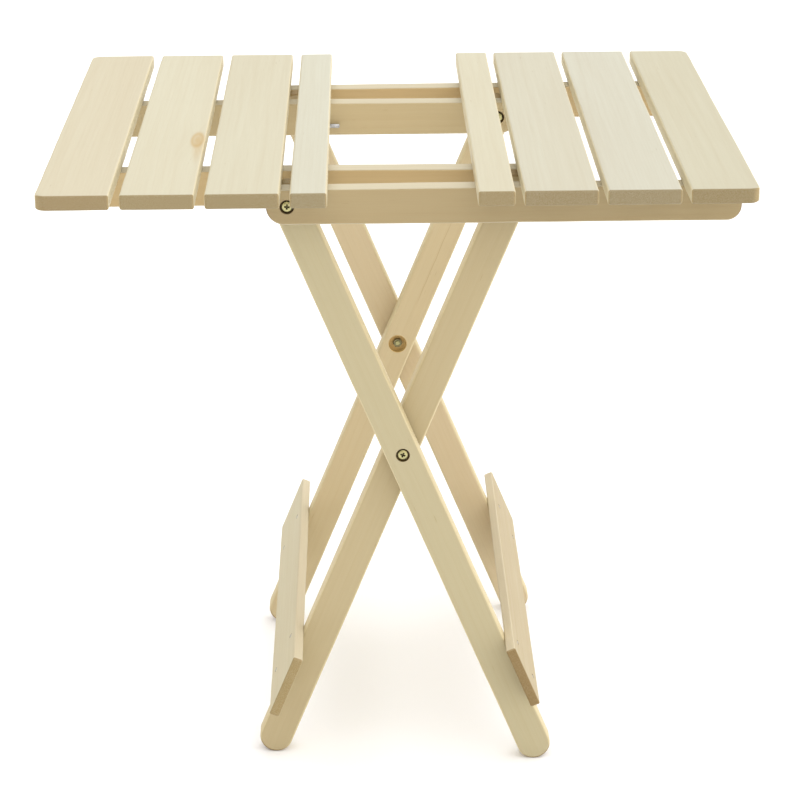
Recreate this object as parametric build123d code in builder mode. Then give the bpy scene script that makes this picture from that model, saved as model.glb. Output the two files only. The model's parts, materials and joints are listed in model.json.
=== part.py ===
"""Folding picnic table: two slatted top halves on two crossing pairs of legs.

Row frame: +X right, +Y to the rear, +Z up, millimetres.
The origin is on the floor, under the middle of the table's bounding box.
The two halves interlock: the right half's rails run outside the legs to the left pivots,
and the left half's rails run inside the legs to the right pivots.
"""
import os
from math import asin, cos, sin

from build123d import *

os.makedirs("parts", exist_ok=True)

# ---- table top ----
slat_length = 640
slat_thickness = 16
slat_round = 2.5
corner_round = 12
centre_gap = 154
narrow_slat = 38
wide_slat = 76
edge_slat = 71
left_gap = 10.5
right_gap = 9

# ---- rails and legs, all from one stock thickness ----
stock_thickness = 23
bar_round = 2
rail_height = 39
rail_taper = 0.8
taper_margin = 5
rail_nose = 22
rail_inset = 8
rail_corner = 16
leg_width = 37.4

# ---- leg geometry, seen from the front ----
pivot_half_span = 120
pivot_to_cross = 314
cross_to_foot = 385

# ---- layers along Y, from the middle of the leg frame outwards ----
frame_y = -10
layer_gap = 2
inner_rail_y = 138
inner_leg_y = inner_rail_y + stock_thickness + layer_gap
outer_leg_y = inner_leg_y + stock_thickness + layer_gap
outer_rail_y = outer_leg_y + stock_thickness + layer_gap

# ---- foot boards ----
board_width = 75.5
board_thickness = 11
board_length = 530
board_start = 250
right_board_shift = 22
left_board_shift = 6

# ---- bolts, nuts and washers at the three pivots ----
bolt_radius = 3
bore_radius = 3.08
head_radius = 5.75
head_height = 3.2
head_dome = 0.9
head_pocket_radius = 7.5
head_pocket_depth = 4
cross_slot_length = 6
cross_slot_width = 1.3
cross_slot_depth = 1.8
nut_pocket_radius = 11
nut_pocket_depth = 8
nut_flat = 10
nut_height = 5
thread_bite = 0.1
thread_tip = 0.8
pivot_float = 0.2
washer_radius = 8
washer_bore_radius = 3.2
washer_thickness = 1.7

# ---- screws that hold the slats, nails that hold the boards, and the hook ----
screw_radius = 2
screw_head_radius = 4
screw_head_height = 2.4
screw_pocket_depth = 6
screw_pocket_radius = 4.5
screw_bite = 9
nail_radius = 1.3
nail_head_radius = 2.6
nail_head_height = 1.2
nail_length = 36
nail_spacing = 46
hook_radius = 2.5
hook_depth = 15
hook_reach = 6
hook_bend = 4
hook_tip_round = 1
hook_x = -84
hook_tip_x = -67
hook_drop = 6.5

# ---- values that follow from the ones above ----
right_width = centre_gap / 2 + narrow_slat + 2 * wide_slat + edge_slat + 3 * right_gap
left_width = centre_gap / 2 + narrow_slat + 3 * wide_slat + 3 * left_gap
mid_x = (left_width - right_width) / 2
lean = asin(pivot_half_span / pivot_to_cross)
foot_radius = leg_width / 2
cross_z = foot_radius + cross_to_foot * cos(lean)
pivot_z = cross_z + pivot_to_cross * cos(lean)
rail_half = rail_height / 2
rail_top_z = pivot_z + rail_half
leg_length = pivot_to_cross + cross_to_foot
leg_middle = (cross_to_foot - pivot_to_cross) / 2
right_rail_end = right_width - rail_inset
left_rail_end = left_width - rail_inset
sides = ((-1, "front"), (1, "rear"))


def rail_outline(reach, side):
    """Side view of a rail: rounded beyond its pivot, tapered there, corner rounded at the far end.

    side is +1 for a rail that runs right from the left pivot, -1 for the mirrored one.
    """
    pivot = -side * pivot_half_span
    end_radius = rail_half - rail_taper / 2
    nose = pivot - side * rail_nose
    end_start = nose + side * end_radius
    corner_start = side * (reach - rail_corner)
    taper_start = side * (centre_gap / 2 - taper_margin)
    with BuildLine() as outline:
        Line((end_start, -rail_half), (corner_start, -rail_half))
        RadiusArc(
            (corner_start, -rail_half),
            (side * reach, rail_corner - rail_half),
            -side * rail_corner,
        )
        Line((side * reach, rail_corner - rail_half), (side * reach, rail_half))
        Line((side * reach, rail_half), (taper_start, rail_half))
        Line((taper_start, rail_half), (end_start, rail_half - rail_taper))
        ThreePointArc(
            (end_start, rail_half - rail_taper),
            (nose, -rail_taper / 2),
            (end_start, -rail_half),
        )
    return outline.edges()


def front_plane(x, y, z):
    """Sketch plane facing the front: its X is the row's X, its Y is up."""
    return Plane(origin=(x, y, z), x_dir=(1, 0, 0), z_dir=(0, -1, 0))


def leg_plane(side, along, y):
    """Sketch plane across a leg: its Y axis points up the leg, from a point along it.

    side is +1 for the outer legs, which run down to the right, and -1 for the inner ones.
    along is measured down the leg from the crossing bolt.
    """
    x = mid_x + side * along * sin(lean)
    z = cross_z - along * cos(lean)
    up_x = cos(lean)
    up_z = side * sin(lean)
    return Plane(origin=(x, y, z), x_dir=(up_x, 0, up_z), z_dir=(0, -1, 0))


def slat_bounds(index):
    """Left and right edges of a slat, from the middle of the centre gap; slats count from left."""
    if index <= 4:
        widths = (narrow_slat, wide_slat, wide_slat, wide_slat)
        steps = 4 - index
        inner = centre_gap / 2 + sum(widths[:steps]) + steps * left_gap
        return -(inner + widths[steps]), -inner
    widths = (narrow_slat, wide_slat, wide_slat, edge_slat)
    steps = index - 5
    inner = centre_gap / 2 + sum(widths[:steps]) + steps * right_gap
    return inner, inner + widths[steps]


def slat_middle(index):
    """X of a slat's middle in the row frame."""
    left, right = slat_bounds(index)
    return mid_x + (left + right) / 2


def screw_places(index):
    """Where a slat's two screws stand: in the middle of the slat, over its own half's rails."""
    rail_y = inner_rail_y if index <= 4 else outer_rail_y
    offset = rail_y + stock_thickness / 2
    return [(slat_middle(index), frame_y + way * offset) for way, _ in sides]


# ---- slats ----
for index in range(1, 9):
    left, right = slat_bounds(index)
    with BuildPart() as slat:
        with BuildSketch(Plane.XY.offset(rail_top_z)):
            with Locations((mid_x + (left + right) / 2, 0)):
                Rectangle(right - left, slat_length)
        extrude(amount=slat_thickness)
        if index in (1, 8):
            edge_axis = slat.edges().filter_by(Axis.Z).sort_by(Axis.X)
            fillet(edge_axis[:2] if index == 1 else edge_axis[-2:], radius=corner_round)
        top_face = slat.faces().sort_by(Axis.Z)[-1]
        bottom_face = slat.faces().sort_by(Axis.Z)[0]
        fillet(top_face.edges() + bottom_face.edges(), radius=slat_round)
        with BuildSketch(Plane.XY.offset(rail_top_z)):
            with Locations(*screw_places(index)):
                Circle(screw_radius)
        extrude(amount=screw_bite, mode=Mode.SUBTRACT)
    slat.part.label = f"slat_{index}"
    export_step(slat.part, f"parts/slat_{index}.step")


# ---- rails ----
def make_rail(name, side, reach, way, inner_y, indices, head_face_out):
    """One rail with its pivot bore, its bolt head pocket and the holes of its slats' screws."""
    near = frame_y + way * inner_y
    far = near + way * stock_thickness
    front = min(near, far)
    back = max(near, far)
    pivot_x = mid_x - side * pivot_half_span
    pocket_y = far if head_face_out else near
    into = -way if head_face_out else way
    outline = rail_outline(reach, side)
    with BuildPart() as rail:
        with BuildSketch(front_plane(mid_x, back, pivot_z)):
            make_face(outline)
        extrude(amount=stock_thickness)
        end_faces = rail.faces().filter_by(Axis.Y)
        fillet(end_faces.edges(), radius=bar_round)
        with BuildSketch(front_plane(pivot_x, back, pivot_z)):
            Circle(bore_radius)
        extrude(amount=stock_thickness, mode=Mode.SUBTRACT)
        with BuildSketch(Plane(origin=(pivot_x, pocket_y, pivot_z), z_dir=(0, into, 0))):
            Circle(head_pocket_radius)
        extrude(amount=head_pocket_depth, mode=Mode.SUBTRACT)
        for index in indices:
            middle = frame_y + way * (inner_y + stock_thickness / 2)
            with BuildSketch(Plane.XY.offset(pivot_z - rail_half)):
                with Locations((slat_middle(index), middle)):
                    Circle(screw_pocket_radius)
            extrude(amount=screw_pocket_depth, mode=Mode.SUBTRACT)
            with BuildSketch(Plane.XY.offset(pivot_z - rail_half)):
                with Locations((slat_middle(index), middle)):
                    Circle(screw_radius)
            extrude(amount=rail_height, mode=Mode.SUBTRACT)
        if name == "inner_rail_rear":
            with BuildSketch(front_plane(mid_x + hook_x, front, pivot_z - hook_drop)):
                Circle(hook_radius)
            extrude(amount=-hook_depth, mode=Mode.SUBTRACT)
    rail.part.label = name
    export_step(rail.part, f"parts/{name}.step")


for way, place in sides:
    make_rail(f"outer_rail_{place}", 1, right_rail_end, way, outer_rail_y, range(5, 9), True)
    make_rail(f"inner_rail_{place}", -1, left_rail_end, way, inner_rail_y, range(1, 5), False)


# ---- legs ----
def board_plane(side, offset):
    """Sketch plane across a foot board: local X runs to the rear, local Y along the legs.

    offset is measured square to the legs, from their centre line towards the board.
    """
    along = board_start + board_width / 2
    x = mid_x + side * (along * sin(lean) + offset * cos(lean))
    z = cross_z - along * cos(lean) + offset * sin(lean)
    return Plane(origin=(x, frame_y, z), x_dir=(0, 1, 0), z_dir=(side * cos(lean), 0, sin(lean)))


def nail_places(leg_y):
    """Local positions of a board's four nails, two over the middle of each leg."""
    offset = leg_y + stock_thickness / 2
    return [(way * offset, end * nail_spacing / 2) for way, _ in sides for end in (-1, 1)]


def make_leg(name, side, way, layer_y, top_pocket, cross_pocket):
    """One leg; each pocket is (radius, depth, +1 on the outer face or -1 on the inner one)."""
    near = frame_y + way * layer_y
    front = min(near, near + way * stock_thickness)
    back = front + stock_thickness
    with BuildPart() as leg:
        with BuildSketch(leg_plane(side, leg_middle, back)):
            SlotCenterToCenter(leg_length, leg_width, rotation=90)
        extrude(amount=stock_thickness)
        fillet(leg.faces().filter_by(Axis.Y).edges(), radius=bar_round)
        for along, pocket in ((-pivot_to_cross, top_pocket), (0, cross_pocket)):
            radius, depth, face = pocket
            with BuildSketch(leg_plane(side, along, back)):
                Circle(bore_radius)
            extrude(amount=stock_thickness, mode=Mode.SUBTRACT)
            mouth = back if way * face > 0 else front
            with BuildSketch(leg_plane(side, along, mouth)):
                Circle(radius)
            extrude(amount=way * face * depth, mode=Mode.SUBTRACT)
        with BuildSketch(board_plane(side, foot_radius + board_thickness)):
            with Locations(*nail_places(layer_y)):
                Circle(nail_radius)
        extrude(amount=-nail_length, mode=Mode.SUBTRACT)
    leg.part.label = name
    export_step(leg.part, f"parts/{name}.step")


head_pocket = (head_pocket_radius, head_pocket_depth)
nut_pocket = (nut_pocket_radius, nut_pocket_depth)
for way, place in sides:
    make_leg(f"outer_leg_{place}", 1, way, outer_leg_y, (*nut_pocket, -1), (*head_pocket, 1))
    make_leg(f"inner_leg_{place}", -1, way, inner_leg_y, (*nut_pocket, 1), (*nut_pocket, -1))


# ---- foot boards and their nails ----
def make_board(name, side, leg_y, shift):
    """Board across the upper edges of one pair of legs, and the nails through it.

    shift is how far the board's middle stands behind the middle of the leg frame.
    """
    with BuildPart() as board:
        with BuildSketch(board_plane(side, foot_radius)):
            with Locations((shift, 0)):
                Rectangle(board_length, board_width)
        extrude(amount=board_thickness)
        fillet(board.edges(), radius=bar_round)
        with BuildSketch(board_plane(side, foot_radius + board_thickness)):
            with Locations(*nail_places(leg_y)):
                Circle(nail_head_radius)
        extrude(amount=-nail_head_height, mode=Mode.SUBTRACT)
        with BuildSketch(board_plane(side, foot_radius + board_thickness)):
            with Locations(*nail_places(leg_y)):
                Circle(nail_radius)
        extrude(amount=-board_thickness, mode=Mode.SUBTRACT)
    board.part.label = f"{name}_foot_board"
    export_step(board.part, f"parts/{name}_foot_board.step")

    with BuildPart() as nails:
        with BuildSketch(board_plane(side, foot_radius + board_thickness)):
            with Locations(*nail_places(leg_y)):
                Circle(nail_head_radius)
        extrude(amount=-nail_head_height)
        with BuildSketch(board_plane(side, foot_radius + board_thickness)):
            with Locations(*nail_places(leg_y)):
                Circle(nail_radius)
        extrude(amount=-nail_length)
    nails.part.label = f"{name}_board_nails"
    export_step(nails.part, f"parts/{name}_board_nails.step")


make_board("right", 1, outer_leg_y, right_board_shift)
make_board("left", -1, inner_leg_y, left_board_shift)


# ---- bolts, nuts and washers ----
def layer_plane(x, z, way, layer, facing):
    """Sketch plane at a layer's distance from the frame's middle.

    facing is +1 towards the outside of the table, -1 towards its middle.
    """
    return Plane(origin=(x, frame_y + way * layer, z), x_dir=(1, 0, 0), z_dir=(0, way * facing, 0))


def make_pivot_set(name, x, z, seat, nut_seat, washer_seat, facing):
    """Bolts, nuts and washers of one pivot, front and rear.

    seat, nut_seat and washer_seat are layers: under the head, under the nut, under the washer.
    facing is the way the bolt head looks: +1 outwards, -1 towards the table's middle.
    """
    tip = nut_seat - facing * (nut_height + thread_tip)
    with BuildPart() as bolts:
        for way, _ in sides:
            with BuildSketch(layer_plane(x, z, way, seat, facing)):
                Circle(head_radius)
            head = extrude(amount=head_height)
            fillet(head.faces().sort_by(Axis.Y)[-1 if way * facing > 0 else 0].edges(), head_dome)
            with BuildSketch(layer_plane(x, z, way, seat + facing * head_height, facing)):
                Rectangle(cross_slot_length, cross_slot_width)
                Rectangle(cross_slot_width, cross_slot_length)
            extrude(amount=-cross_slot_depth, mode=Mode.SUBTRACT)
            with BuildSketch(layer_plane(x, z, way, seat, facing)):
                Circle(bolt_radius)
            extrude(amount=-abs(seat - tip))
    bolts.part.label = f"{name}_bolts"
    export_step(bolts.part, f"parts/{name}_bolts.step")

    with BuildPart() as nuts:
        for way, _ in sides:
            with BuildSketch(layer_plane(x, z, way, nut_seat, facing)):
                RegularPolygon(nut_flat / 2, 6, major_radius=False)
                Circle(bolt_radius - thread_bite, mode=Mode.SUBTRACT)
            extrude(amount=-nut_height)
    nuts.part.label = f"{name}_nuts"
    export_step(nuts.part, f"parts/{name}_nuts.step")

    with BuildPart() as washers:
        for way, _ in sides:
            with BuildSketch(layer_plane(x, z, way, washer_seat, facing)):
                Circle(washer_radius)
                Circle(washer_bore_radius, mode=Mode.SUBTRACT)
            extrude(amount=washer_thickness)
    washers.part.label = f"{name}_washers"
    export_step(washers.part, f"parts/{name}_washers.step")


outer_rail_face = outer_rail_y + stock_thickness
outer_leg_face = outer_leg_y + stock_thickness
inner_leg_face = inner_leg_y + stock_thickness
make_pivot_set(
    "left_pivot",
    mid_x - pivot_half_span,
    pivot_z,
    seat=outer_rail_face - head_pocket_depth + pivot_float,
    nut_seat=outer_leg_y + nut_pocket_depth - pivot_float,
    washer_seat=outer_leg_face,
    facing=1,
)
make_pivot_set(
    "crossing",
    mid_x,
    cross_z,
    seat=outer_leg_face - head_pocket_depth + pivot_float,
    nut_seat=inner_leg_y + nut_pocket_depth,
    washer_seat=inner_leg_face,
    facing=1,
)
make_pivot_set(
    "right_pivot",
    mid_x + pivot_half_span,
    pivot_z,
    seat=inner_rail_y + head_pocket_depth - pivot_float,
    nut_seat=inner_leg_face - nut_pocket_depth + pivot_float,
    washer_seat=inner_leg_y,
    facing=-1,
)


# ---- screws under the slats ----
def make_screws(name, indices):
    """Screws that go up through the rails of one top half into its slats."""
    head_top = pivot_z - rail_half + screw_pocket_depth
    shank_length = rail_height - screw_pocket_depth + screw_bite
    with BuildPart() as screws:
        for index in indices:
            with BuildSketch(Plane.XY.offset(head_top)):
                with Locations(*screw_places(index)):
                    Circle(screw_head_radius)
            extrude(amount=-screw_head_height)
            with BuildSketch(Plane.XY.offset(head_top)):
                with Locations(*screw_places(index)):
                    Circle(screw_radius)
            extrude(amount=shank_length)
    screws.part.label = name
    export_step(screws.part, f"parts/{name}.step")


make_screws("left_slat_screws", range(1, 5))
make_screws("right_slat_screws", range(5, 9))

# ---- steel hook: a bent rod driven into the inner face of the rear inner rail ----
hook_face = frame_y + inner_rail_y
hook_z = pivot_z - hook_drop
with BuildLine() as hook_line:
    FilletPolyline(
        (mid_x + hook_x, hook_face + hook_depth, hook_z),
        (mid_x + hook_x, hook_face - hook_reach, hook_z),
        (mid_x + hook_tip_x, hook_face - hook_reach, hook_z),
        radius=hook_bend,
    )
with BuildPart() as steel_hook:
    with BuildSketch(front_plane(mid_x + hook_x, hook_face + hook_depth, hook_z)):
        Circle(hook_radius)
    sweep(path=hook_line.wire())
    fillet(steel_hook.faces().sort_by(Axis.X)[-1].edges(), radius=hook_tip_round)
steel_hook.part.label = "steel_hook"
export_step(steel_hook.part, "parts/steel_hook.step")
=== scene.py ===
import json
from math import ceil, cos, hypot, pi, radians, sin

import bmesh
import bpy
from mathutils import Matrix, Vector, noise


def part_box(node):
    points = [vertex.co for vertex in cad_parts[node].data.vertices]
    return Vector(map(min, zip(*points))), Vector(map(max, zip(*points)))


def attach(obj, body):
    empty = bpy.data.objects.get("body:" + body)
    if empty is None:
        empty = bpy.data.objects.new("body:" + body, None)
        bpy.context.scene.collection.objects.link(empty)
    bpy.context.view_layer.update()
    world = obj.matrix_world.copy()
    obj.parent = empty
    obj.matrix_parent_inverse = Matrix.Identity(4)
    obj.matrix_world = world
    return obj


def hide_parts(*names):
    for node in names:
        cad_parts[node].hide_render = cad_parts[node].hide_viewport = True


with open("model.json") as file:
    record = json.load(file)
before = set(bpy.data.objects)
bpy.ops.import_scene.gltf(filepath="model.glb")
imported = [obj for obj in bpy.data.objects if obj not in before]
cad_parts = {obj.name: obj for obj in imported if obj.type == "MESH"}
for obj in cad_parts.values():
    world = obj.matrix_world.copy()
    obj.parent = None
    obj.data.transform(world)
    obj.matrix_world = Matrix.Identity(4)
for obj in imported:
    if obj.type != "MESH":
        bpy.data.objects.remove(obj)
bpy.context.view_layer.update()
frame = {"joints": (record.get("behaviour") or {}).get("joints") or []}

joints = {joint["name"]: joint for joint in frame["joints"]}
crossing = Vector(joints["legs_fold"]["pos_m"])
left_pivot = Vector(joints["right_half_hinge"]["pos_m"])
right_pivot = Vector(joints["left_half_hinge"]["pos_m"])

X = Vector((1, 0, 0))
Y = Vector((0, 1, 0))
Z = Vector((0, 0, 1))
SIDES = ((-1, "front"), (1, "rear"))

# ---- camera ----
CAMERA_PLACE = (-0.0346, -2.8541, 1.4126)
CAMERA_YAW = -0.0139
CAMERA_PITCH = -0.3541
CAMERA_ROLL = -0.0070
CAMERA_LENS = 116.4


def make_camera():
    data = bpy.data.cameras.new("camera")
    data.sensor_width = 36
    data.lens = CAMERA_LENS
    data.clip_start = 0.05
    data.clip_end = 50
    camera = bpy.data.objects.new("camera", data)
    turn = Matrix.Rotation(CAMERA_YAW, 4, "Z") @ Matrix.Rotation(pi / 2 + CAMERA_PITCH, 4, "X")
    turn = turn @ Matrix.Rotation(CAMERA_ROLL, 4, "Z")
    camera.matrix_world = Matrix.Translation(CAMERA_PLACE) @ turn
    bpy.context.scene.collection.objects.link(camera)
    bpy.context.scene.camera = camera


# ---- node helpers ----
class Nodes:
    """Short forms for building one material's node tree."""

    def __init__(self, name):
        self.material = bpy.data.materials.new(name)
        self.material.use_nodes = True
        self.tree = self.material.node_tree
        self.tree.nodes.clear()

    def add(self, kind, **settings):
        node = self.tree.nodes.new(kind)
        for key, value in settings.items():
            setattr(node, key, value)
        return node

    def feed(self, socket, value):
        if isinstance(value, bpy.types.NodeSocket):
            self.tree.links.new(value, socket)
        else:
            socket.default_value = value

    def math(self, operation, a, b=0.0, clamp=False):
        node = self.add("ShaderNodeMath", operation=operation, use_clamp=clamp)
        self.feed(node.inputs[0], a)
        self.feed(node.inputs[1], b)
        return node.outputs[0]

    def dot(self, a, b):
        node = self.add("ShaderNodeVectorMath", operation="DOT_PRODUCT")
        self.feed(node.inputs[0], a)
        self.feed(node.inputs[1], b)
        return node.outputs["Value"]

    def distance(self, a, b):
        squares = self.math("ADD", self.math("MULTIPLY", a, a), self.math("MULTIPLY", b, b))
        return self.math("SQRT", squares)

    def combine(self, x, y, z):
        node = self.add("ShaderNodeCombineXYZ")
        for socket, value in zip(node.inputs, (x, y, z)):
            self.feed(socket, value)
        return node.outputs[0]

    def noise(self, vector, scale, detail=2.0, roughness=0.5):
        node = self.add("ShaderNodeTexNoise", noise_dimensions="3D")
        self.feed(node.inputs["Vector"], vector)
        node.inputs["Scale"].default_value = scale
        node.inputs["Detail"].default_value = detail
        node.inputs["Roughness"].default_value = roughness
        return node.outputs["Fac"]

    def remap(self, value, low, high, to_low=0.0, to_high=1.0, smooth=False):
        kind = "SMOOTHSTEP" if smooth else "LINEAR"
        node = self.add("ShaderNodeMapRange", interpolation_type=kind)
        self.feed(node.inputs["Value"], value)
        node.inputs["From Min"].default_value = low
        node.inputs["From Max"].default_value = high
        node.inputs["To Min"].default_value = to_low
        node.inputs["To Max"].default_value = to_high
        return node.outputs["Result"]

    def rise(self, value, low, high):
        """0 below low and 1 above high, smooth between them."""
        return self.remap(value, low, high, 0.0, 1.0, smooth=True)

    def fall(self, value, low, high):
        """1 below low and 0 above high, smooth between them."""
        return self.remap(value, low, high, 1.0, 0.0, smooth=True)

    def output(self, surface):
        out = self.add("ShaderNodeOutputMaterial")
        self.feed(out.inputs["Surface"], surface.outputs[0])
        return self.material

    def mix(self, factor, a, b, blend="MIX"):
        node = self.add("ShaderNodeMix", data_type="RGBA", blend_type=blend)
        self.feed(node.inputs["Factor"], factor)
        self.feed(node.inputs["A"], a)
        self.feed(node.inputs["B"], b)
        return node.outputs["Result"]


# ---- wood ----
FACE_COLOUR = (0.530, 0.495, 0.375, 1)
LATE_COLOUR = (0.425, 0.330, 0.200, 1)
END_COLOUR = (0.267, 0.198, 0.090, 1)
KNOT_COLOUR = (0.420, 0.250, 0.060, 1)
FLECK_COLOUR = (0.300, 0.200, 0.105, 1)
# Dark brown for the head pockets and nail holes: partly the drill's browning, partly painted shade
# inside the pockets and round the nail heads.
HEAD_POCKET_BROWNING_AND_SHADE = (0.100, 0.065, 0.015, 1)
NUT_POCKET_COLOUR = (0.600, 0.480, 0.240, 1)

RING_SPACING = 0.0034
RING_SWAY = 0.016
RING_SWAY_DEEP = 0.006
KNOT_SQUEEZE = 0.22
STAIN_SQUEEZE = 0.11
CRACK_WANDER = 0.004

# How much of the length along the grain a pattern sees: the less, the longer its marks.
LONG_STRETCH = 0.12
FLECK_STRETCH = 0.10
FINE_STRETCH = 0.028

# How fine each pattern is: noise cells to the metre.
SWAY_SCALE = 9.0
BROAD_SCALE = 14.0
RARE_SCALE = 17.0
SWAY_DEEP_SCALE = 23.0
CRACK_SCALE = 30.0
STREAK_SCALE = 170.0
FLECK_SCALE = 420.0
FIBRE_SCALE = 900.0
PORE_SCALE = 1500.0

# How strongly each mark shows, from 0 to 1.
STREAK_SHOWS = 0.09
LATE_SHOWS = 0.13
BROAD_SHOWS = 0.16
PORE_SHOWS = 0.30
FLECK_SHOWS = 0.32
STAIN_SHOWS = 0.36
LATE_SHOWS_ON_ENDS = 0.45
KNOT_RIM_SHOWS = 0.45
CRACK_SHOWS = 0.45
KNOT_SHOWS = 0.50
BORE_SHOWS = 0.85


def bore_masks(n, u, v, bores):
    """A mask and a colour for each bore: full inside it and nothing just outside."""
    masks = []
    for bore_u, bore_v, radius, colour in bores:
        far = n.distance(n.math("SUBTRACT", u, bore_u), n.math("SUBTRACT", v, bore_v))
        masks.append((n.remap(far, radius * 1.01, radius * 1.05, BORE_SHOWS, 0.0), colour))
    return masks


def knot_masks(n, u, v, knots):
    """v with the grain pushed round the knots, then masks for hearts, rims and stained grain."""
    heart = 0.0
    rim = 0.0
    stain = 0.0
    for knot_u, knot_v, radius in knots:
        du = n.math("SUBTRACT", u, knot_u)
        dv = n.math("SUBTRACT", v, knot_v)
        far = n.distance(n.math("MULTIPLY", du, KNOT_SQUEEZE), dv)
        push = n.remap(far, 0.0, radius * 5, radius * 1.6, 0.0, smooth=True)
        v = n.math("ADD", v, n.math("MULTIPLY", push, n.math("SIGN", dv)))
        heart = n.math("MAXIMUM", heart, n.fall(far, 0.0, radius * 1.9))
        off_rim = n.math("ABSOLUTE", n.remap(far, radius * 0.6, radius * 1.5, -1.0, 1.0))
        rim = n.math("MAXIMUM", rim, n.math("SUBTRACT", 1.0, off_rim))
        below = n.math("MULTIPLY", n.math("ADD", du, radius * 6), STAIN_SQUEEZE)
        from_stain = n.distance(below, n.math("SUBTRACT", dv, radius * 0.5))
        stain = n.math("MAXIMUM", stain, n.fall(from_stain, 0.0, radius * 1.6))
    return v, heart, rim, stain


def crack_mask(n, place, u, v, cracks):
    """A mask for thin wandering cracks along the grain, fading at both ends."""
    mask = 0.0
    for start, stop, crack_v, half_width in cracks:
        wander = n.math("SUBTRACT", n.noise(place, CRACK_SCALE), 0.5)
        wandered = n.math("ADD", v, n.math("MULTIPLY", wander, CRACK_WANDER))
        line = n.fall(n.math("ABSOLUTE", n.math("SUBTRACT", wandered, crack_v)), 0.0, half_width)
        from_middle = n.math("ABSOLUTE", n.math("SUBTRACT", u, (start + stop) / 2))
        length = stop - start
        reach = n.fall(from_middle, length * 0.3, length * 0.5)
        mask = n.math("MAXIMUM", mask, n.math("MULTIPLY", line, reach))
    return mask


def late_wood(n, long_place, v, w, seed):
    """A mask for the dark late edge of each growth ring, about a pith beside the piece."""
    pith_v = 0.030 * sin(seed * 3.1)
    pith_w = 0.055 + 0.03 * cos(seed * 1.7)
    sway = n.math("SUBTRACT", n.noise(long_place, SWAY_SCALE, 3.0), 0.5)
    sway_deep = n.math("SUBTRACT", n.noise(long_place, SWAY_DEEP_SCALE, 2.0), 0.5)
    ring_v = n.math("ADD", n.math("SUBTRACT", v, pith_v), n.math("MULTIPLY", sway, RING_SWAY))
    ring_w = n.math("ADD", n.math("SUBTRACT", w, pith_w), n.math("MULTIPLY", sway_deep, RING_SWAY_DEEP))
    turn = n.math("FRACT", n.math("MULTIPLY", n.distance(ring_v, ring_w), 1 / RING_SPACING))
    return n.math("MULTIPLY", n.math("POWER", turn, 5.0), n.remap(turn, 0.93, 1.0, 1.0, 0.0))


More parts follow.
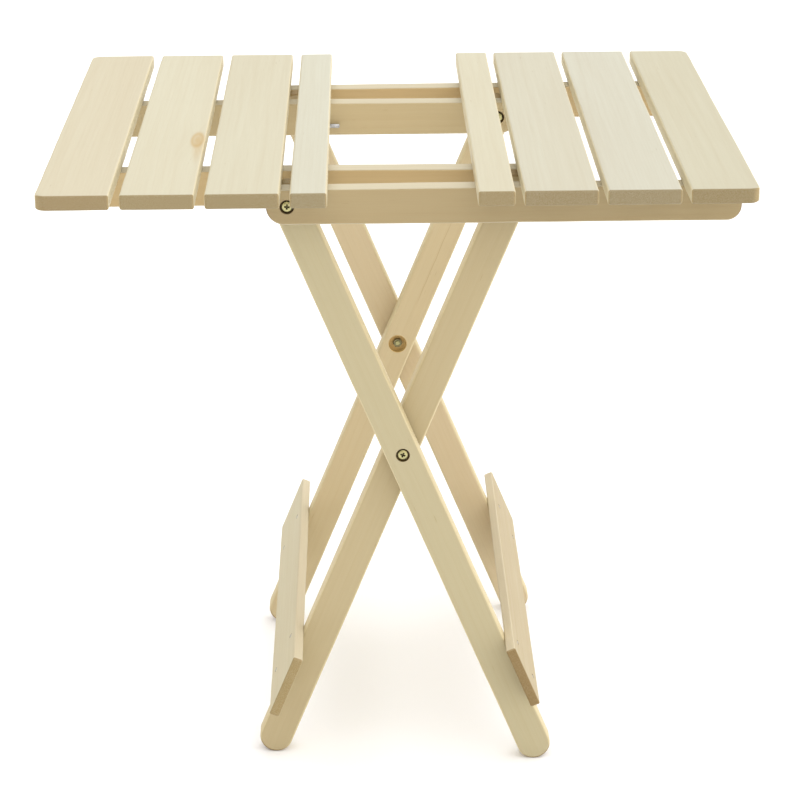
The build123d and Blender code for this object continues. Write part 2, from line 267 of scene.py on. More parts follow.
def wood_material(name, centre, axes, seed, tint, side_tint, knots=(), bores=(), cracks=()):
    """Bare planed pale softwood, solid through the piece, fixed to the piece's own rest place.

    axes are unit vectors: along the grain, across the wide face, and out of the wide face.
    tint multiplies the wide faces' colour, as no two pieces of wood are quite alike, and also paints
    the shade and warm bounce light that fall on each piece;
    side_tint does so on the narrow sides, where it paints the light and shade that fall on them.
    Each knot is (place along, place across, radius), from the piece's centre.
    Each bore is (place along, place across, radius, colour): the drill browns its walls, and the head
    pockets' dark colour also paints the shade inside them.
    Each crack is (start along, end along, place across, half width).
    """
    n = Nodes(name)
    along, across, deep = axes
    place = n.add("ShaderNodeTexCoord")
    offset = n.add("ShaderNodeVectorMath", operation="SUBTRACT")
    n.feed(offset.inputs[0], place.outputs["Object"])
    offset.inputs[1].default_value = centre
    from_centre = offset.outputs[0]
    u = n.dot(from_centre, along)
    v = n.dot(from_centre, across)
    w = n.dot(from_centre, deep)
    shift = seed * 7.31

    drilled_and_shaded = bore_masks(n, u, v, bores)
    v, knot_heart, knot_rim, knot_stain = knot_masks(n, u, v, knots)
    crack = crack_mask(n, from_centre, u, v, cracks)

    long_place, fleck_place, fine_place = [
        n.combine(n.math("ADD", n.math("MULTIPLY", u, stretch), shift), v, w)
        for stretch in (LONG_STRETCH, FLECK_STRETCH, FINE_STRETCH)
    ]
    late = late_wood(n, long_place, v, w, seed)
    broad = n.noise(long_place, BROAD_SCALE, 2.0)
    fibre = n.noise(fine_place, FIBRE_SCALE, 3.0, 0.6)
    streak = n.noise(fine_place, STREAK_SCALE, 3.0, 0.55)
    pore = n.noise(n.combine(n.math("ADD", u, shift), v, w), PORE_SCALE, 2.0)
    fleck = n.rise(n.noise(fleck_place, FLECK_SCALE, 1.0), 0.735, 0.80)
    rare = n.rise(n.noise(place.outputs["Object"], RARE_SCALE, 1.0), 0.50, 0.62)
    end = n.rise(n.math("ABSOLUTE", n.dot(place.outputs["Normal"], along)), 0.20, 0.60)
    # side picks the narrow sides, whose colour side_tint changes to paint the light and shade that fall
    # on them.
    side = n.rise(n.math("ABSOLUTE", n.dot(place.outputs["Normal"], across)), 0.30, 0.75)

    face = n.mix(n.math("MULTIPLY", late, LATE_SHOWS), FACE_COLOUR, LATE_COLOUR)
    face = n.mix(n.remap(streak, 0.35, 0.75, 0.0, STREAK_SHOWS), face, LATE_COLOUR)
    face = n.mix(n.remap(broad, 0.30, 0.75, 0.0, BROAD_SHOWS), face, LATE_COLOUR)
    face = n.mix(n.math("MULTIPLY", n.math("MULTIPLY", fleck, rare), FLECK_SHOWS), face, FLECK_COLOUR)
    cut = n.mix(n.math("MULTIPLY", late, LATE_SHOWS_ON_ENDS), END_COLOUR, FLECK_COLOUR)
    cut = n.mix(n.remap(pore, 0.40, 0.70, 0.0, PORE_SHOWS), cut, FACE_COLOUR)
    colour = n.mix(end, face, cut)
    colour = n.mix(n.math("MULTIPLY", knot_stain, STAIN_SHOWS), colour, KNOT_COLOUR)
    colour = n.mix(n.math("MULTIPLY", knot_heart, KNOT_SHOWS), colour, KNOT_COLOUR)
    colour = n.mix(n.math("MULTIPLY", knot_rim, KNOT_RIM_SHOWS), colour, KNOT_COLOUR)
    # Bore colours: the drill's browning, and in the head pockets and nail holes also painted shade.
    for mask, bore_colour in drilled_and_shaded:
        colour = n.mix(mask, colour, bore_colour)
    colour = n.mix(n.math("MULTIPLY", crack, CRACK_SHOWS), colour, FLECK_COLOUR)
    shade = n.remap(fibre, 0.2, 0.8, 0.975, 1.02)
    colour = n.mix(1.0, colour, n.combine(shade, shade, shade), "MULTIPLY")
    # Multiplies in the tints: each piece's own tone, with painted shade and warm bounce light on the
    # wide faces and painted light and shade on the narrow sides.
    colour = n.mix(1.0, colour, n.mix(side, (*tint, 1), (*side_tint, 1)), "MULTIPLY")

    height = n.math("ADD", n.math("MULTIPLY", fibre, 0.5), n.math("MULTIPLY", late, 0.3))
    height = n.math("SUBTRACT", height, n.math("MULTIPLY", n.math("MULTIPLY", pore, end), 0.9))
    bump = n.add("ShaderNodeBump")
    bump.inputs["Strength"].default_value = 0.30
    bump.inputs["Distance"].default_value = 0.0003
    n.feed(bump.inputs["Height"], height)
    surface = n.add("ShaderNodeBsdfPrincipled")
    n.feed(surface.inputs["Base Color"], colour)
    n.feed(surface.inputs["Roughness"], n.remap(streak, 0.3, 0.7, 0.52, 0.64))
    surface.inputs["Specular IOR Level"].default_value = 0.30
    n.feed(surface.inputs["Normal"], bump.outputs[0])
    return n.output(surface)


# ---- plated steel ----
def plated_material(name, colour, clouded, roughness):
    """Zinc-plated steel, clouded by its passivation and finely scuffed; with a dim colour it also
    serves as painted shade inside the heads' crosses.
    """
    n = Nodes(name)
    place = n.add("ShaderNodeTexCoord").outputs["Object"]
    cloud = n.noise(place, 160.0, 3.0)
    scuff = n.noise(place, 2600.0, 2.0)
    bump = n.add("ShaderNodeBump")
    bump.inputs["Strength"].default_value = 0.2
    bump.inputs["Distance"].default_value = 0.0001
    n.feed(bump.inputs["Height"], scuff)
    surface = n.add("ShaderNodeBsdfPrincipled")
    n.feed(surface.inputs["Base Color"], n.mix(n.remap(cloud, 0.35, 0.65), colour, clouded))
    surface.inputs["Metallic"].default_value = 1.0
    scuffed = n.remap(scuff, 0.3, 0.7, roughness - 0.06, roughness + 0.10)
    n.feed(surface.inputs["Roughness"], scuffed)
    n.feed(surface.inputs["Normal"], bump.outputs[0])
    return n.output(surface)


# ---- bars and boards ----
POINT_STEP = 0.007
CORNER_STEP = 0.0012
ARC_POINTS = 9
ROUND_END_POINTS = 33
EDGE_RINGS = 4
EDGE_WANDER = 0.35
WANDER_SCALE = 22
SIDE_WAVE = 0.00012
WAVE_SCALE = 9
SAME_POINT = 0.000003


def arc(centre, radius, start, end, points=ARC_POINTS):
    """Points on an arc, angles in radians."""
    angles = [start + (end - start) * k / (points - 1) for k in range(points)]
    return [(centre[0] + radius * cos(angle), centre[1] + radius * sin(angle)) for angle in angles]


def circle(radius, height, segments):
    """Points on a full circle about the Z axis, at a height."""
    return [Vector((x, y, height)) for x, y in arc((0, 0), radius, 0, 2 * pi, segments + 1)[:-1]]


def tube_faces(rings, count):
    """Four-sided faces that join each ring of points to the next."""
    faces = []
    for ring in range(rings - 1):
        low = ring * count
        high = low + count
        for k in range(count):
            ahead = (k + 1) % count
            faces.append((low + k, low + ahead, high + ahead, high + k))
    return faces


def capped_faces(rings, count):
    """A tube's faces with both its ends closed."""
    last = (rings - 1) * count
    ends = [tuple(reversed(range(count))), tuple(range(last, last + count))]
    return tube_faces(rings, count) + ends


def filled_in(outline):
    """The closed outline with more points on its long straight stretches."""
    dense = []
    for (ax, ay), (bx, by) in zip(outline, outline[1:] + outline[:1]):
        steps = max(1, ceil(hypot(bx - ax, by - ay) / POINT_STEP))
        dense += [(ax + (bx - ax) * k / steps, ay + (by - ay) * k / steps) for k in range(steps)]
    return dense


def rounded_rectangle(width, height, corners):
    """Outline round the origin; corners are radii, from the lower right one anticlockwise."""
    x = width / 2
    y = height / 2
    points = []
    quarters = ((1, -1, -pi / 2), (1, 1, 0), (-1, 1, pi / 2), (-1, -1, pi))
    for radius, (side_x, side_y, start) in zip(corners, quarters):
        count = max(4, ceil(radius / CORNER_STEP))
        centre = (side_x * (x - radius), side_y * (y - radius))
        points += arc(centre, radius, start, start + pi / 2, count)
    return points


def slot_outline(length, radius):
    """Outline of a bar with round ends: length between the ends' centres, along the second axis."""
    top = arc((0, length / 2), radius, 0, pi, ROUND_END_POINTS)
    bottom = arc((0, -length / 2), radius, pi, 2 * pi, ROUND_END_POINTS)
    return top + bottom


def outward_normals(outline):
    """The outward direction at each point of an anticlockwise outline."""
    normals = []
    for k in range(len(outline)):
        ahead = Vector(outline[(k + 1) % len(outline)])
        behind = Vector(outline[k - 1])
        along = (ahead - behind).normalized()
        normals.append(Vector((along.y, -along.x)))
    return normals


def bar_mesh(name, outline, thickness, place, edge, seed):
    """A flat bar: its outline lies in place's XY plane, its thickness runs both ways along Z.

    The edges are eased by hand, so their radius wanders, and the sides are a little wavy.
    """
    outline = filled_in(outline)
    normals = outward_normals(outline)
    steps = range(EDGE_RINGS + 1)
    edges = [(-1, (pi / 2) * (1 - step / EDGE_RINGS)) for step in steps]
    edges += [(1, (pi / 2) * step / EDGE_RINGS) for step in steps]
    vertices = []
    for part, angle in edges:
        for (x, y), normal in zip(outline, normals):
            wander = noise.noise(Vector((x * WANDER_SCALE, y * WANDER_SCALE, seed * 3.7 + part)))
            radius = edge * (1 + EDGE_WANDER * wander)
            sway = SIDE_WAVE * noise.noise(Vector((x * WAVE_SCALE, y * WAVE_SCALE, seed * 5.3)))
            inset = radius * (1 - cos(angle)) - sway
            depth = part * (thickness / 2 - radius + radius * sin(angle))
            vertices.append(place @ Vector((x - normal.x * inset, y - normal.y * inset, depth)))
    mesh = bpy.data.meshes.new(name)
    mesh.from_pydata(vertices, [], capped_faces(len(edges), len(outline)))
    mesh.validate()
    mesh.update()
    return mesh


def cut_by(mesh, tools):
    """The mesh with closed shapes cut out of it; each tool is (vertices, faces)."""
    collection = bpy.context.scene.collection
    piece = bpy.data.objects.new("cut", mesh)
    collection.objects.link(piece)
    used = [piece]
    for vertices, faces in tools:
        tool_mesh = bpy.data.meshes.new("tool")
        tool_mesh.from_pydata(vertices, [], faces)
        tool = bpy.data.objects.new("tool", tool_mesh)
        collection.objects.link(tool)
        cut = piece.modifiers.new("cut", "BOOLEAN")
        cut.operation = "DIFFERENCE"
        cut.solver = "EXACT"
        cut.object = tool
        used.append(tool)
    graph = bpy.context.evaluated_depsgraph_get()
    result = bpy.data.meshes.new_from_object(piece.evaluated_get(graph))
    result.name = mesh.name
    for item in used:
        bpy.data.objects.remove(item)
    clean = bmesh.new()
    clean.from_mesh(result)
    bmesh.ops.remove_doubles(clean, verts=clean.verts, dist=SAME_POINT)
    clean.to_mesh(result)
    clean.free()
    return result


def turned(profile, place, segments=48):
    """A turned solid: (radius, height) pairs from one end to the other, about place's Z axis."""
    vertices = []
    for radius, height in profile:
        vertices += [place @ point for point in circle(radius, height, segments)]
    return vertices, capped_faces(len(profile), segments)


def axis_place(point, direction):
    """Matrix whose Z axis starts at a point and runs along a direction."""
    turn = direction.to_track_quat("Z", "Y").to_matrix().to_4x4()
    return Matrix.Translation(point) @ turn


# How far a cutting tool stands out of the face that it enters.
HOLE_LIP = 0.001


def hole(point, direction, radius, depth):
    """Tool for a round hole that starts at a point on a face and runs inwards."""
    return turned(((radius, -HOLE_LIP), (radius, depth)), axis_place(point, direction))


def merged(name, shapes):
    """One mesh from several shapes: (vertices, faces), and which faces take the second material, a
    painted shade, if any do.
    """
    vertices = []
    faces = []
    dark = []
    for shape_vertices, shape_faces, *marks in shapes:
        start = len(vertices)
        vertices += shape_vertices
        faces += [tuple(start + k for k in face) for face in shape_faces]
        dark += marks[0] if marks else [False] * len(shape_faces)
    mesh = bpy.data.meshes.new(name)
    mesh.from_pydata(vertices, [], faces)
    mesh.polygons.foreach_set("material_index", [int(mark) for mark in dark])
    mesh.update()
    return mesh


def finish_piece(name, mesh, materials, body, node):
    """Smooths, colours and hangs one piece on its body, in place of a CAD node."""
    for material in materials:
        mesh.materials.append(material)
    mesh.polygons.foreach_set("use_smooth", [True] * len(mesh.polygons))
    mesh.set_sharp_from_angle(angle=radians(40))
    piece = bpy.data.objects.new(name, mesh)
    bpy.context.scene.collection.objects.link(piece)
    weighted = piece.modifiers.new("face normals", "WEIGHTED_NORMAL")
    weighted.keep_sharp = True
    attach(piece, body)
    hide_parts(node)


def middle_of(node):
    low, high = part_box(node)
    return (Vector(low) + Vector(high)) / 2


def size_of(node):
    low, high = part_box(node)
    return Vector(high) - Vector(low)


def placed(centre, across, along):
    """Matrix that puts a flat outline's X along across and its Y along along, at a centre."""
    deep = across.cross(along)
    turn = Matrix((across, along, deep)).transposed().to_4x4()
    return Matrix.Translation(centre) @ turn


# ---- slats ----
SLAT_EDGE = 0.0024
SLAT_CORNER = 0.003
END_CORNER = 0.012
SLAT_TINTS = (
    (0.99, 0.98, 0.97), (1.00, 1.02, 1.03), (0.97, 0.99, 1.00), (0.97, 1.03, 1.12),
    (0.99, 1.01, 1.02), (0.93, 0.96, 1.01), (0.93, 0.98, 1.07), (0.90, 0.92, 0.92),
)
# Painted light: brightens the slats' narrow sides.
SLAT_SIDE_LIGHT_TINT = (1.18, 1.16, 1.09)
SLAT_KNOTS = {2: ((-0.099, 0.0295, 0.0055),)}


def make_slats():
    for number in range(1, 9):
        node = f"slat_{number}"
        centre = middle_of(node)
        size = size_of(node)
        left = END_CORNER if number == 1 else SLAT_CORNER
        right = END_CORNER if number == 8 else SLAT_CORNER
        outline = rounded_rectangle(size.x, size.y, (right, right, left, left))
        mesh = bar_mesh(node, outline, size.z, placed(centre, X, Y), SLAT_EDGE, number)
        material = wood_material(
            f"wood_{node}", centre, (Y, X, Z), number * 1.37, SLAT_TINTS[number - 1],
            SLAT_SIDE_LIGHT_TINT, knots=SLAT_KNOTS.get(number, ()),
        )
        body = "left_half" if number <= 4 else "right_half"
        finish_piece(f"{node}_wood", mesh, [material], body, node)


# ---- sizes that the rails, legs, boards and hardware share ----
STOCK = 0.023
BAR_EDGE = 0.002
BORE = 0.0031
HEAD_POCKET = (0.0075, 0.004)
NUT_POCKET = (0.011, 0.008)
# The head pocket's colour is partly painted shade inside the pocket; the nut pocket's is the drill's
# browning.
POCKET_COLOURS = {HEAD_POCKET: HEAD_POCKET_BROWNING_AND_SHADE, NUT_POCKET: NUT_POCKET_COLOUR}
frame_y = middle_of("crossing_bolts").y


def pocket_tools(pivot, middle_y, opens, pocket):
    """Tools for a bolt's bore through a bar and for its pocket, whose mouth faces opens."""
    radius, depth = pocket
    centre = Vector((pivot.x, middle_y, pivot.z))
    mouth = centre + opens * STOCK / 2
    back = centre - opens * STOCK / 2
    return [hole(mouth, -opens, radius, depth), hole(back, opens, BORE, STOCK + HOLE_LIP)]


# ---- rails ----
RAIL_TAPER = 0.0008
RAIL_NOSE = 0.022
RAIL_CORNER = 0.016
TAPER_LENGTH = 0.192
SCREW_POCKET = (0.0045, 0.006)
# Painted shade and warm bounce light on each rail's wide faces, with its own tone: darkest on the outer
# front rail, in the slats' shadow.
RAIL_SHADE_AND_BOUNCE_TINTS = {
    "outer_rail_front": (0.72, 0.61, 0.44),
    "inner_rail_front": (1.04, 0.85, 0.59),
    "inner_rail_rear": (0.91, 0.79, 0.59),
    "outer_rail_rear": (1.05, 0.85, 0.59),
}
# Painted shade: darkens the rails' narrow top and bottom faces a little.
RAIL_SIDE_SHADE_TINT = (0.96, 0.93, 0.89)


def rail_outline(reach, height, side):
    """Side view of a rail from its pivot, which is the origin; side is +1 when it runs right."""
    half = height / 2
    end_radius = half - RAIL_TAPER / 2
    end_x = end_radius - RAIL_NOSE
    points = [(end_x, -half)]
    points += arc((reach - RAIL_CORNER, RAIL_CORNER - half), RAIL_CORNER, -pi / 2, 0, 17)
    points += arc((reach - BAR_EDGE, half - BAR_EDGE), BAR_EDGE, 0, pi / 2, 5)
    points += [(TAPER_LENGTH, half)]
    points += arc((end_x, -RAIL_TAPER / 2), end_radius, pi / 2, 3 * pi / 2, 33)[:-1]
    if side > 0:
        return points
    return [(-x, z) for x, z in reversed(points)]


# Each kind of rail: the side it runs to from its pivot, the pivot, and the slats it carries.
RAILS = (("outer", 1, left_pivot, range(5, 9)), ("inner", -1, right_pivot, range(1, 5)))


def make_rails():
    for way, place in SIDES:
        outward = Vector((0, way, 0))
        for kind, side, pivot, slats in RAILS:
            node = f"{kind}_rail_{place}"
            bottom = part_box(node)[0][2]
            middle = middle_of(node)
            size = size_of(node)
            reach = size.x - RAIL_NOSE
            outline = rail_outline(reach, size.z, side)
            seed = 11 + 2.3 * way + side
            upright = placed(Vector((pivot.x, middle.y, middle.z)), X, Z)
            mesh = bar_mesh(node, outline, STOCK, upright, BAR_EDGE, seed)
            tools = pocket_tools(pivot, middle.y, outward * side, HEAD_POCKET)
            for number in slats:
                under = Vector((middle_of(f"slat_{number}").x, middle.y, bottom))
                tools.append(hole(under, Z, *SCREW_POCKET))
            mesh = cut_by(mesh, tools)
            # The pivot's head pocket: drill browning and also painted shade inside the pocket.
            bores = ((pivot.x - middle.x, pivot.z - middle.z, HEAD_POCKET[0], HEAD_POCKET_BROWNING_AND_SHADE),)
            material = wood_material(
                f"wood_{node}", middle, (X, Z, Y), seed, RAIL_SHADE_AND_BOUNCE_TINTS[node], RAIL_SIDE_SHADE_TINT,
                bores=bores,
            )
            body = "right_half" if side > 0 else "left_half"
            finish_piece(f"{node}_wood", mesh, [material], body, node)


# ---- legs ----
LEG_RADIUS = 0.0187
LEG_SPAN = 0.699
LEG_EDGE = 0.003
# Painted shade on the front legs and warm bounce light on the rear legs, with each leg's own tone, on
# the wide faces.
LEG_SHADE_AND_BOUNCE_TINTS = {
    "outer_leg_front": (0.90, 0.86, 0.72),
    "inner_leg_front": (0.88, 0.79, 0.62),
    "inner_leg_rear": (1.11, 0.99, 0.80),
    "outer_leg_rear": (1.17, 1.05, 0.90),
}
# Painted light: brightens and warms the legs' narrow sides and eased edges.
LEG_SIDE_LIGHT_TINT = (1.20, 1.12, 0.92)
LEG_CRACKS = {"inner_leg_rear": ((0.085, 0.215, -0.0022, 0.0006),)}


def leg_axes(pivot):
    """Up the leg, and square to it towards its foot board, for the legs that hang from a pivot."""
    up = (pivot - crossing).normalized()
    out = Vector((up.z, 0, -up.x))
    return up, out if out.z > 0 else -out


def make_legs():
    for way, place in SIDES:
        outward = Vector((0, way, 0))
        for kind, pivot, cross_pocket, cross_way, top_way in (
            ("outer", left_pivot, HEAD_POCKET, 1, -1),
            ("inner", right_pivot, NUT_POCKET, -1, 1),
        ):
            node = f"{kind}_leg_{place}"
            middle = middle_of(node)
            up, out = leg_axes(pivot)
            seed = 31 + 1.9 * way + top_way
            outline = slot_outline(LEG_SPAN, LEG_RADIUS)
            mesh = bar_mesh(node, outline, STOCK, placed(middle, up.cross(Y), up), LEG_EDGE, seed)
            tools = []
            bores = []
            bolted = ((pivot, NUT_POCKET, top_way), (crossing, cross_pocket, cross_way))
            for joint, pocket, facing in bolted:
                tools += pocket_tools(joint, middle.y, outward * facing, pocket)
                off = joint - middle
                bores.append((off.dot(up), off.dot(out), pocket[0], POCKET_COLOURS[pocket]))
            mesh = cut_by(mesh, tools)
            material = wood_material(
                f"wood_{node}", middle, (up, out, Y), seed, LEG_SHADE_AND_BOUNCE_TINTS[node],
                LEG_SIDE_LIGHT_TINT, bores=bores, cracks=LEG_CRACKS.get(node, ()),
            )
            finish_piece(f"{node}_wood", mesh, [material], f"{kind}_legs", node)


# ---- foot boards and nails ----
BOARD_LENGTH = 0.530
BOARD_WIDTH = 0.0755
BOARD_THICKNESS = 0.011
BOARD_CORNER = 0.003
NAIL_SPACING = 0.046
NAIL_HOLE = (0.0028, 0.0014)
NAIL_HEAD = (
    (0.0013, -0.0012), (0.0024, -0.0011), (0.0025, -0.0005), (0.0018, -0.0001), (0.0004, 0.0),
)
NAIL_SHANK = ((0.0003, -0.0355), (0.0013, -0.0325), (0.0013, -0.0010))
# Each board: name, its legs and their pivot, the wood's tint, which also paints the board's light and
# shade, and its seed.
BOARDS = (
    ("right", "outer", left_pivot, (0.86, 0.77, 0.62), 41),
    ("left", "inner", right_pivot, (1.09, 1.07, 0.96), 47),
)
# Painted light: brightens the foot boards' narrow edges.
BOARD_SIDE_LIGHT_TINT = (1.17, 1.12, 1.08)


def make_boards():
    for name, kind, pivot, tint, seed in BOARDS:
        node = f"{name}_foot_board"
        middle = middle_of(node)
        up, out = leg_axes(pivot)
        outline = rounded_rectangle(BOARD_WIDTH, BOARD_LENGTH, (BOARD_CORNER,) * 4)
        mesh = bar_mesh(node, outline, BOARD_THICKNESS, placed(middle, up, Y), BAR_EDGE, seed)
        places = []
        for _, place in SIDES:
            leg_y = middle_of(f"{kind}_leg_{place}").y
            for end in (-1, 1):
                spot = middle + up * end * NAIL_SPACING / 2 + out * BOARD_THICKNESS / 2
                spot.y = leg_y
                places.append(axis_place(spot, out))
        tools = [hole(place.translation, -out, *NAIL_HOLE) for place in places]
        mesh = cut_by(mesh, tools)
        bores = []
        for place in places:
            off = place.translation - middle
            # A dark ring round each nail head: painted shade.
            bores.append((off.y, off.dot(up), NAIL_HOLE[0], HEAD_POCKET_BROWNING_AND_SHADE))
        material = wood_material(
            f"wood_{node}", middle, (Y, up, out), seed, tint, BOARD_SIDE_LIGHT_TINT, bores=bores,
        )
        finish_piece(f"{node}_wood", mesh, [material], f"{kind}_legs", node)
        shapes = []
        for place in places:
            shapes += [turned(NAIL_HEAD, place, 24), turned(NAIL_SHANK, place, 12)]
        nails = merged(f"{name}_nails", shapes)
        finish_piece(
            f"{name}_nails_steel", nails, [zinc], f"{kind}_legs", f"{name}_board_nails",
        )


# ---- bolts, nuts and washers ----
HEAD_PROFILE = (
    (0.0050, 0.0), (0.00565, 0.0001), (0.00575, 0.0004), (0.00575, 0.0016), (0.0056, 0.0022),
    (0.0051, 0.0027), (0.0040, 0.0030), (0.0022, 0.00315), (0.0004, 0.0032),
)
CROSS_MOUTH = 0.0034
CROSS_FLOOR = 0.0018
CROSS_WIDTH = 0.00115
CROSS_TAPER = 0.7
CROSS_DEPTH = 0.0022
RECESS_LIP = 0.00015
THREAD_PITCH = 0.001
ROWS_TO_A_TURN = 6
THREAD_CORE = 0.00262
THREAD_CREST = 0.00296
THREAD_LENGTH = 0.010
NUT_FLAT = 0.010
NUT_OUTSIDE = (
    (0.0, -0.0001), (0.0004, 0.00032), (0.0010, 0.00098),
    (0.0040, 0.00098), (0.0046, 0.00032), (0.0050, -0.0001),
)
NUT_BORE = ((0.0033, 0.0050), (0.0029, 0.0047), (0.0029, 0.0003), (0.0033, 0.0))
WASHER_PROFILE = (
    (0.0032, 0.0), (0.0078, 0.0), (0.0080, 0.0002),
    (0.0080, 0.0013), (0.0077, 0.0016), (0.0032, 0.0016),
)


def cross_tools(top):
    """Two tapered slots that make a cross recess, cut down from a height along Z."""
    tools = []
    for turn in (0, pi / 2):
        spin = Matrix.Rotation(turn, 4, "Z")
        vertices = []
        for height, reach, width in (
            (top - CROSS_DEPTH, CROSS_FLOOR, CROSS_WIDTH * CROSS_TAPER),
            (top + HOLE_LIP, CROSS_MOUTH, CROSS_WIDTH),
        ):
            for x, y in ((reach, -width), (reach, width), (-reach, width), (-reach, -width)):
                vertices.append(spin @ Vector((x, y, height)))
        tools.append((vertices, capped_faces(2, 4)))
    return tools


def cross_head(profile):
    """A pan head with a cross cut into it, standing on the origin along Z, as one shape; the faces
    inside the cross are marked for a material that paints the shade there.
    """
    top = profile[-1][1]
    mesh = merged("head", [turned(profile, Matrix.Identity(4))])
    mesh = cut_by(mesh, cross_tools(top))
    # Marks the faces inside the cross for the second material, which paints the shade there.
    dark = []
    for face in mesh.polygons:
        place = face.center
        surface = [height for radius, height in profile if radius >= hypot(place.x, place.y)]
        inside = place.z > 0 and surface and place.z < surface[-1] - RECESS_LIP
        dark.append(bool(inside))
    return [v.co.copy() for v in mesh.vertices], [tuple(p.vertices) for p in mesh.polygons], dark


def moved(shape, place):
    vertices, faces, dark = shape
    return [place @ vertex for vertex in vertices], faces, dark


def threaded_end(start, stop, place, segments=24):
    """A threaded length of shank between two heights along place's Z axis."""
    rows = ceil((stop - start) / THREAD_PITCH * ROWS_TO_A_TURN)
    vertices = []
    for row in range(rows + 1):
        height = start + (stop - start) * row / rows
        ends = min(1, (stop - height) / THREAD_PITCH, (height - start) / THREAD_PITCH)
        for k in range(segments):
            phase = (height / THREAD_PITCH - k / segments) % 1
            crest = 1 - abs(2 * phase - 1)
            radius = THREAD_CORE + (THREAD_CREST - THREAD_CORE) * crest * ends
            angle = 2 * pi * k / segments
            vertices.append(place @ Vector((radius * cos(angle), radius * sin(angle), height)))
    return vertices, capped_faces(rows + 1, segments)


def ring_shape(rings, place):
    """A closed ring-shaped solid from rings of points: the last is joined to the first."""
    count = len(rings[0])
    vertices = [place @ point for ring in rings for point in ring]
    last = len(vertices) - count
    faces = tube_faces(len(rings), count)
    for k in range(count):
        ahead = (k + 1) % count
        faces.append((last + k, last + ahead, ahead, k))
    return vertices, faces


def hex_nut(place, segments=72):
    """A hexagon nut standing on place's origin, its corners cut back at both ends."""
    rings = []
    for height, past_flat in NUT_OUTSIDE:
        ring = []
        for k in range(segments):
            angle = 2 * pi * k / segments
            from_flat = (angle % (pi / 3)) - pi / 6
            radius = min(NUT_FLAT / 2 / cos(from_flat), NUT_FLAT / 2 + past_flat)
            ring.append(Vector((radius * cos(angle), radius * sin(angle), height)))
        rings.append(ring)
    rings += [circle(radius, height, segments) for radius, height in NUT_BORE]
    return ring_shape(rings, place)


def washer_shape(place, segments=48):
    return ring_shape([circle(radius, height, segments) for radius, height in WASHER_PROFILE], place)


# Each set: name, joint, body, then distances from the frame's middle: under the head, the bolt's
# tip, under the nut and under the washer; then the way the head faces and the cross's turn.
PIVOT_SETS = (
    ("left_pivot", left_pivot, "outer_legs", 0.2322, 0.1900, 0.1958, 0.2110, 1, 0.30),
    ("crossing", crossing, "inner_legs", 0.2072, 0.1652, 0.1710, 0.1860, 1, 0.05),
    ("right_pivot", right_pivot, "inner_legs", 0.1418, 0.1840, 0.1782, 0.1630, -1, 0.60),
)


def make_bolts():
    head = cross_head(HEAD_PROFILE)
    for name, pivot, body, seat, tip, nut_seat, washer_seat, facing, turn in PIVOT_SETS:
        bolts = []
        nuts = []
        washers = []
        for way, _ in SIDES:
            outward = Vector((0, way * facing, 0))
            head_seat, under_nut, under_washer = [
                Vector((pivot.x, frame_y + way * distance, pivot.z))
                for distance in (seat, nut_seat, washer_seat)
            ]
            spin = Matrix.Rotation(turn + way * 0.4, 4, "Z")
            bolts.append(moved(head, axis_place(head_seat, outward) @ spin))
            shank_place = axis_place(head_seat, -outward)
            length = abs(seat - tip)
            plain = length - THREAD_LENGTH
            shank = ((0.0028, -0.0002), (0.0030, 0.0004), (0.0030, plain), (0.0027, plain + 0.0003))
            bolts.append(turned(shank, shank_place, 32))
            bolts.append(threaded_end(plain, length, shank_place))
            nuts.append(hex_nut(axis_place(under_nut, -outward)))
            washers.append(washer_shape(axis_place(under_washer, outward)))
        for kind, shapes in (("bolts", bolts), ("nuts", nuts), ("washers", washers)):
            node = f"{name}_{kind}"
            mesh = merged(node, shapes)
            finish_piece(f"{node}_steel", mesh, METALS[kind], body, node)


# ---- screws under the slats ----
SCREW_HEAD = (
    (0.0020, 0.0), (0.0036, 0.0003), (0.0040, 0.0010),
    (0.0038, 0.0017), (0.0028, 0.0022), (0.0004, 0.0024),
)
SCREW_SHANK = ((0.0020, -0.0003), (0.0020, 0.0300), (0.0016, 0.0400), (0.0003, 0.0418))
SCREW_SETS = (
    ("left", "inner", "left_half", range(1, 5)),
    ("right", "outer", "right_half", range(5, 9)),
)


def make_screws():
    head = cross_head(SCREW_HEAD)
    for side, kind, body, slats in SCREW_SETS:
        shapes = []
        for _, place in SIDES:
            rail_y = middle_of(f"{kind}_rail_{place}").y
            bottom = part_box(f"{kind}_rail_{place}")[0][2]
            for number in slats:
                seat = Vector((middle_of(f"slat_{number}").x, rail_y, bottom + SCREW_POCKET[1]))
                spin = Matrix.Rotation(number * 0.7, 4, "Z")
                shapes.append(moved(head, axis_place(seat, -Z) @ spin))
                shapes.append(turned(SCREW_SHANK, axis_place(seat, Z), 16))
        mesh = merged(f"{side}_screws", shapes)
        finish_piece(
            f"{side}_screws_steel", mesh, [zinc, recess_shade], body, f"{side}_slat_screws",
        )


# ---- steel hook ----
HOOK_RADIUS = 0.0025
HOOK_BEND = 0.004
HOOK_TIP = ((0.0010, 1), (0.0003, 0.86), (0, 0.55))
HOOK_SEGMENTS = 24


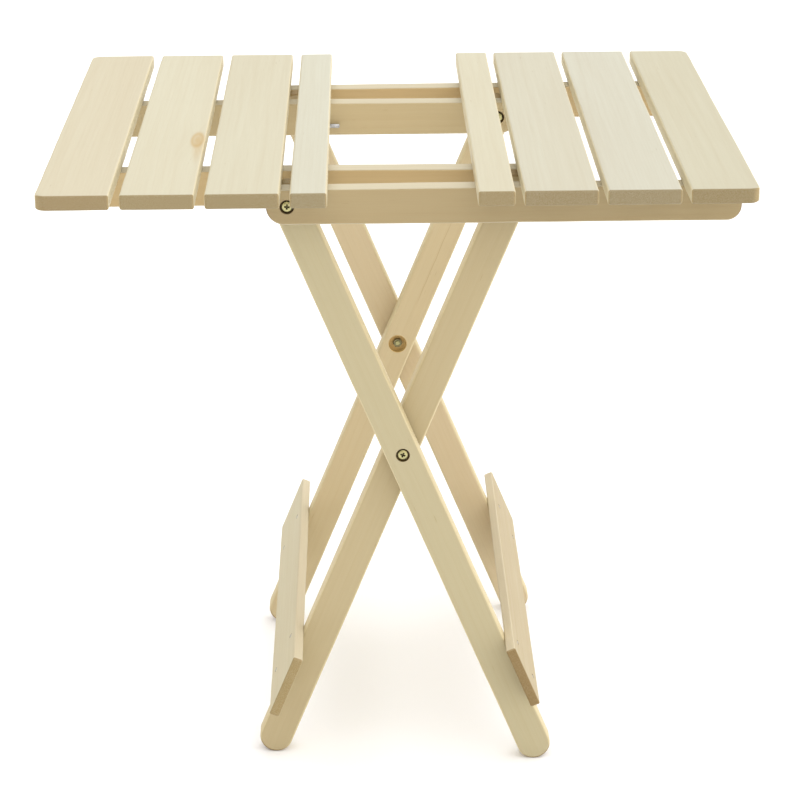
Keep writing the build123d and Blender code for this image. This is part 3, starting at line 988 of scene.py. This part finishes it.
def make_hook():
    """A bent rod: out of the rail towards the front, then along it to the right."""
    low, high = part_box("steel_hook")
    root = Vector((low[0] + HOOK_RADIUS, high[1], (low[2] + high[2]) / 2))
    arm_y = low[1] + HOOK_RADIUS
    centres = [root, Vector((root.x, arm_y + HOOK_BEND, root.z))]
    for x, y in arc((root.x + HOOK_BEND, arm_y + HOOK_BEND), HOOK_BEND, pi, 3 * pi / 2, 9)[1:]:
        centres.append(Vector((x, y, root.z)))
    tip = Vector((high[0], arm_y, root.z))
    centres += [tip - X * back for back, _ in HOOK_TIP]
    radii = [HOOK_RADIUS] * (len(centres) - len(HOOK_TIP))
    radii += [HOOK_RADIUS * share for _, share in HOOK_TIP]
    vertices = []
    for k, (centre, radius) in enumerate(zip(centres, radii)):
        ahead = centres[min(k + 1, len(centres) - 1)]
        behind = centres[max(k - 1, 0)]
        side = Z.cross((ahead - behind).normalized())
        for point in circle(radius, 0, HOOK_SEGMENTS):
            vertices.append(centre + side * point.x + Z * point.y)
    mesh = merged("steel_hook", [(vertices, capped_faces(len(centres), HOOK_SEGMENTS))])
    finish_piece("steel_hook_steel", mesh, [zinc], "left_half", "steel_hook")


# ---- floor and light ----
FLOOR_REACH = 120
FLOOR_COLOUR = (0.96, 0.97, 1.0, 1)
DOME_LOW_COLOUR = (1.0, 0.76, 0.42, 1)
DOME_WHITE_FROM = 0.7
DOME_STRENGTH = 0.60
OVERHEAD_ENERGY = 3.2
OVERHEAD_SPREAD = radians(140)
OVERHEAD_WAY = Vector((-0.40, 0.0, -1))


def make_stage():
    corners = [(x * FLOOR_REACH, y * FLOOR_REACH, 0) for x, y in ((-1, -1), (1, -1), (1, 1), (-1, 1))]
    mesh = bpy.data.meshes.new("floor")
    mesh.from_pydata(corners, [], [(0, 1, 2, 3)])
    floor = bpy.data.objects.new("floor", mesh)
    bpy.context.scene.collection.objects.link(floor)
    n = Nodes("floor")
    surface = n.add("ShaderNodeBsdfPrincipled")
    surface.inputs["Base Color"].default_value = FLOOR_COLOUR
    surface.inputs["Roughness"].default_value = 0.9
    surface.inputs["Specular IOR Level"].default_value = 0.1
    mesh.materials.append(n.output(surface))


def make_dome():
    """A dome of light that is warmer low down."""
    world = bpy.data.worlds.new("studio")
    world.use_nodes = True
    nodes = world.node_tree.nodes
    links = world.node_tree.links
    direction = nodes.new("ShaderNodeTexCoord")
    parts = nodes.new("ShaderNodeSeparateXYZ")
    height = nodes.new("ShaderNodeMapRange")
    height.inputs["From Max"].default_value = DOME_WHITE_FROM
    blend = nodes.new("ShaderNodeMix")
    blend.data_type = "RGBA"
    blend.inputs["A"].default_value = DOME_LOW_COLOUR
    blend.inputs["B"].default_value = (1.0, 1.0, 1.0, 1)
    links.new(direction.outputs["Generated"], parts.inputs[0])
    links.new(parts.outputs["Z"], height.inputs["Value"])
    links.new(height.outputs["Result"], blend.inputs["Factor"])
    links.new(blend.outputs["Result"], nodes["Background"].inputs["Color"])
    nodes["Background"].inputs["Strength"].default_value = DOME_STRENGTH
    bpy.context.scene.world = world


def make_overhead():
    """One very wide soft light from overhead, a little to the right."""
    data = bpy.data.lights.new("overhead", "SUN")
    data.energy = OVERHEAD_ENERGY
    data.angle = OVERHEAD_SPREAD
    light = bpy.data.objects.new("overhead", data)
    light.rotation_euler = OVERHEAD_WAY.to_track_quat("-Z", "Y").to_euler()
    bpy.context.scene.collection.objects.link(light)


yellow_zinc = plated_material("yellow_zinc", (0.50, 0.46, 0.22, 1), (0.42, 0.40, 0.20, 1), 0.30)
nut_zinc = plated_material("nut_zinc", (0.24, 0.22, 0.12, 1), (0.18, 0.17, 0.10, 1), 0.34)
zinc = plated_material("zinc", (0.50, 0.50, 0.50, 1), (0.40, 0.41, 0.42, 1), 0.24)
# A dark plating for the faces inside the cross recesses of bolt and screw heads: painted shade, not a
# real finish.
recess_shade = plated_material("recess_shade", (0.16, 0.14, 0.07, 1), (0.10, 0.09, 0.05, 1), 0.55)
METALS = {"bolts": [yellow_zinc, recess_shade], "nuts": [nut_zinc], "washers": [yellow_zinc]}
make_camera()
make_stage()
make_dome()
make_overhead()
bpy.context.scene.view_settings.view_transform = "Standard"
make_slats()
make_rails()
make_legs()
make_boards()
make_bolts()
make_screws()
make_hook()
